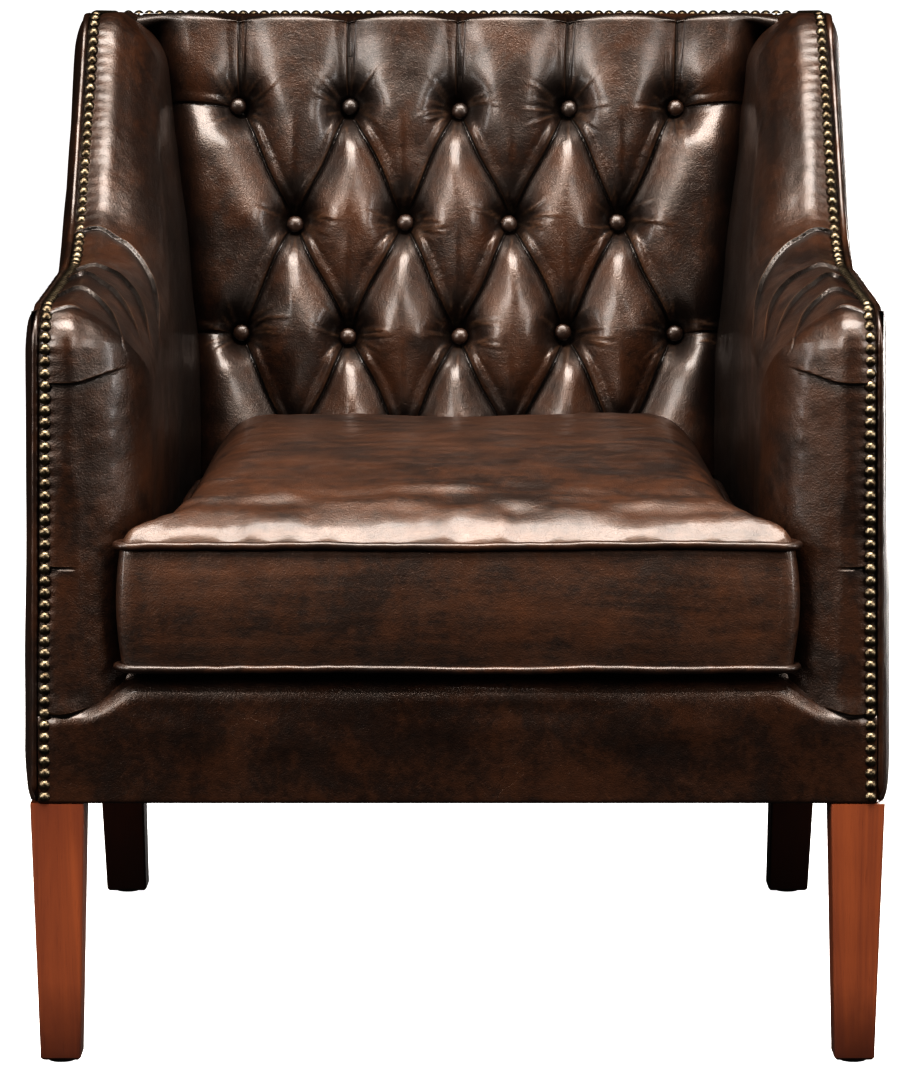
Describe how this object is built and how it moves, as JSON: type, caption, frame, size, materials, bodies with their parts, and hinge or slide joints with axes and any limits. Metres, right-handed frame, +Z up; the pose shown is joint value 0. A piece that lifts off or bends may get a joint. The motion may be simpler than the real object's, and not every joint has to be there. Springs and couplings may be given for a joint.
{
  "type": "upholstered armchair",
  "caption": "Low-winged armchair in brown leather with a deep-buttoned back, loose box seat cushion, nailed and piped edges and square tapered legs.",
  "frame": {"origin": "on the floor, under the middle of the chair's width and depth", "axes": "+Z up, the chair faces -Y, +X is to the right of someone looking at its front"},
  "size_m": [0.72, 0.7222, 0.887],
  "materials": {
    "aged_brass": "satin",
    "button_leather": "satin",
    "deck_cloth": "matte",
    "dust_cloth": "matte",
    "foam": "matte",
    "frame_wood": "matte",
    "glide_nylon": "matte",
    "hessian": "matte",
    "leather": "gloss",
    "piping_leather": "satin",
    "plated_steel": "satin",
    "spring_steel": "satin",
    "stained_wood": "gloss",
    "twine": "matte",
    "webbing": "matte",
    "zip_metal": "satin",
    "zip_tape": "matte"
  },
  "bodies": {
    "chair": {"arm_board_left": "frame_wood", "arm_board_right": "frame_wood", "arm_cover_left": "leather", "arm_cover_right": "leather", "arm_facing_left": "leather", "arm_facing_right": "leather", "arm_pad_left": "foam", "arm_pad_right": "foam", "arm_post_left": "frame_wood", "arm_post_right": "frame_wood", "back_buttons": "button_leather", "back_cover": "leather", "back_nails": "aged_brass", "back_pad": "foam", "back_piping": "piping_leather", "back_post_left": "frame_wood", "back_post_right": "frame_wood", "back_webbing": "webbing", "button_twines": "twine", "corner_block_screws": "plated_steel", "corner_blocks": "frame_wood", "crest_rail": "frame_wood", "deck_cover": "deck_cloth", "deck_pad": "foam", "dust_cover": "dust_cloth", "front_border": "leather", "front_edge_roll": "foam", "front_leg_left": "stained_wood", "front_leg_right": "stained_wood", "front_seat_rail": "frame_wood", "leg_bolts": "plated_steel", "leg_glides": "glide_nylon", "leg_plates": "plated_steel", "lower_back_rail": "frame_wood", "outside_arm_left": "leather", "outside_arm_right": "leather", "outside_back": "leather", "rear_leg_left": "stained_wood", "rear_leg_right": "stained_wood", "rear_seat_rail": "frame_wood", "seat_hessian": "hessian", "seat_springs": "spring_steel", "side_nails_left": "aged_brass", "side_nails_right": "aged_brass", "side_piping_left": "piping_leather", "side_piping_right": "piping_leather", "side_rail_left": "frame_wood", "side_rail_right": "frame_wood", "spring_clips": "plated_steel", "wing_board_left": "frame_wood", "wing_board_right": "frame_wood"},
    "seat_cushion": {"cushion_border": "leather", "cushion_bottom_panel": "leather", "cushion_core": "foam", "cushion_lower_piping": "piping_leather", "cushion_top_panel": "leather", "cushion_upper_piping": "piping_leather", "cushion_zip": "zip_tape"},
    "zip_slider": {"zip_slider": "zip_metal"},
    "zip_pull": {"zip_pull": "zip_metal"}
  },
  "joints": [
    {"name": "cushion_lift", "type": "slide", "parent": "chair", "child": "seat_cushion", "axis": [0, -0.5, 0.866], "range_m": [0, 0.65]},
    {"name": "zip_slide", "type": "slide", "parent": "seat_cushion", "child": "zip_slider", "axis": [1, 0, 0], "range_m": [0, 0.392]},
    {"name": "pull_swing", "type": "hinge", "parent": "zip_slider", "child": "zip_pull", "pos_m": [-0.196, 0.12925, 0.392], "axis": [1, 0, 0], "range_deg": [0, 150]}
  ]
}
